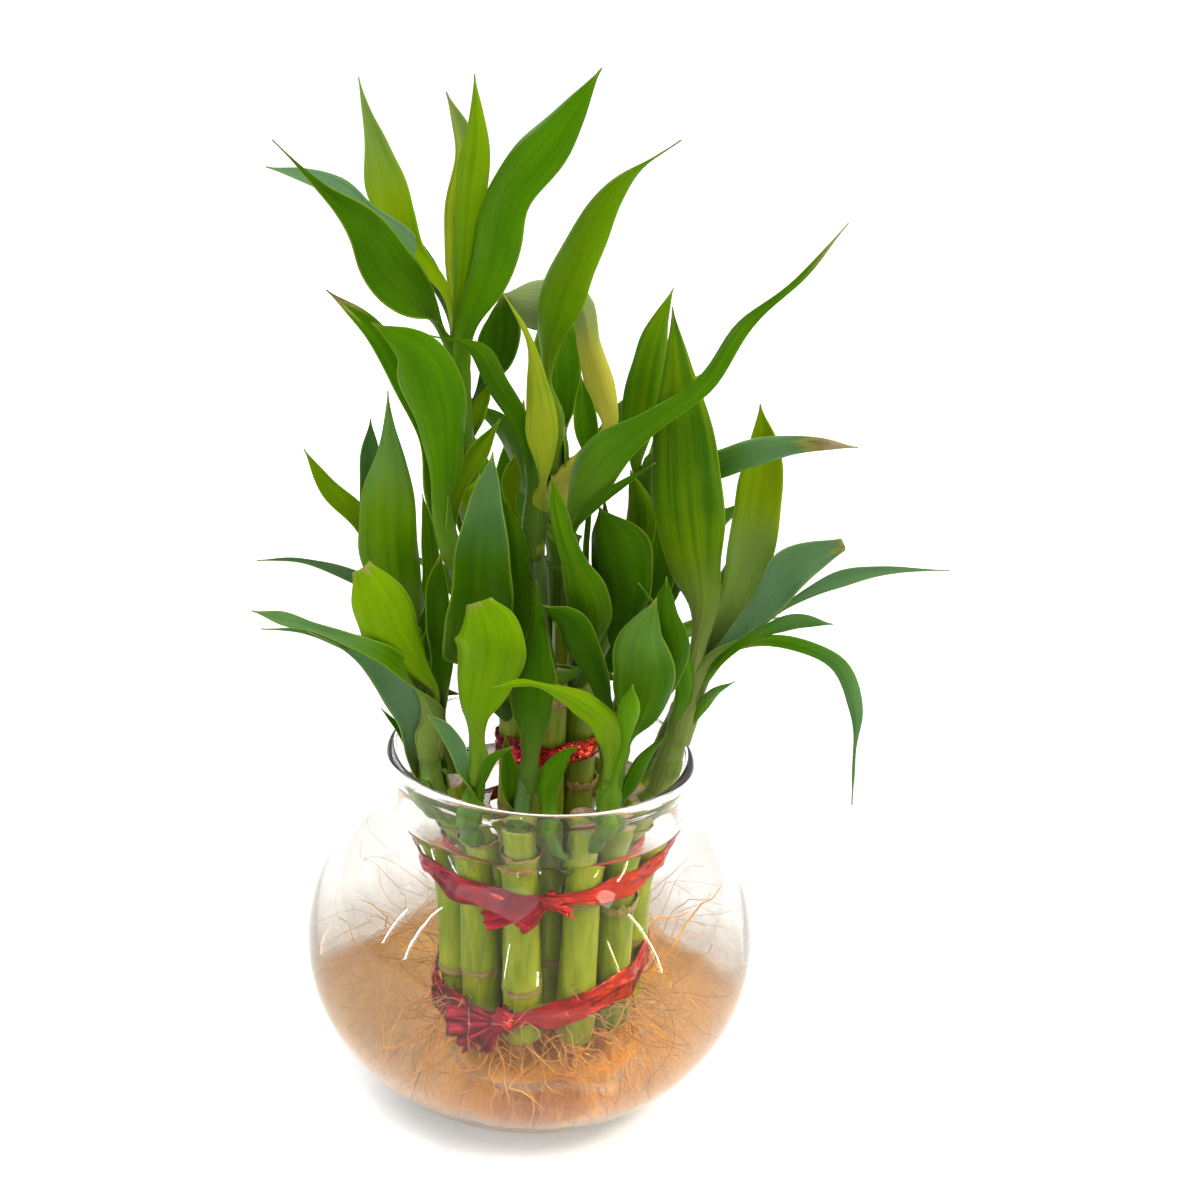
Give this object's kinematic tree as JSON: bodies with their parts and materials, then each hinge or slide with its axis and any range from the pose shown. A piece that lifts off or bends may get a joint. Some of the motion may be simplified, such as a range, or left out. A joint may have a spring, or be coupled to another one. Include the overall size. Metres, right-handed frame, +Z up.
{
  "type": "lucky bamboo in a glass vase",
  "caption": "Tiered lucky bamboo: tied green canes with arching leaves, standing on orange roots in water in a round clear glass vase with a short neck.",
  "frame": {"origin": "middle of the flat foot of the vase, on the surface that it stands on", "axes": "+Z up, -Y towards the viewer's front, +X to the viewer's right"},
  "size_m": [0.1877, 0.1327, 0.2991],
  "materials": {
    "vase_glass": "clear, polished, very slightly cool",
    "water": "clear water, faintly tinted by the roots",
    "leafy_stalk": "waxy, satin to glossy living leaf and cane",
    "roots": "matt fibrous roots",
    "foil_ribbon": "glossy red metallised film"
  },
  "bodies": {
    "root": {"glass_vase": "vase_glass", "water": "water", "root_mat": "roots", "stalk_front_left": "leafy_stalk", "stalk_front": "leafy_stalk", "stalk_front_right": "leafy_stalk", "stalk_right_front": "leafy_stalk", "stalk_right": "leafy_stalk", "stalk_right_back": "leafy_stalk", "stalk_back_right": "leafy_stalk", "stalk_back_left": "leafy_stalk", "stalk_left": "leafy_stalk", "stalk_left_front": "leafy_stalk", "tall_stalk_front_left": "leafy_stalk", "tall_stalk_left": "leafy_stalk", "tall_stalk_front": "leafy_stalk", "tall_stalk_right": "leafy_stalk", "tall_stalk_back": "leafy_stalk", "upper_ribbon": "foil_ribbon", "lower_ribbon": "foil_ribbon", "inner_ribbon": "foil_ribbon"}
  },
  "joints": []
}
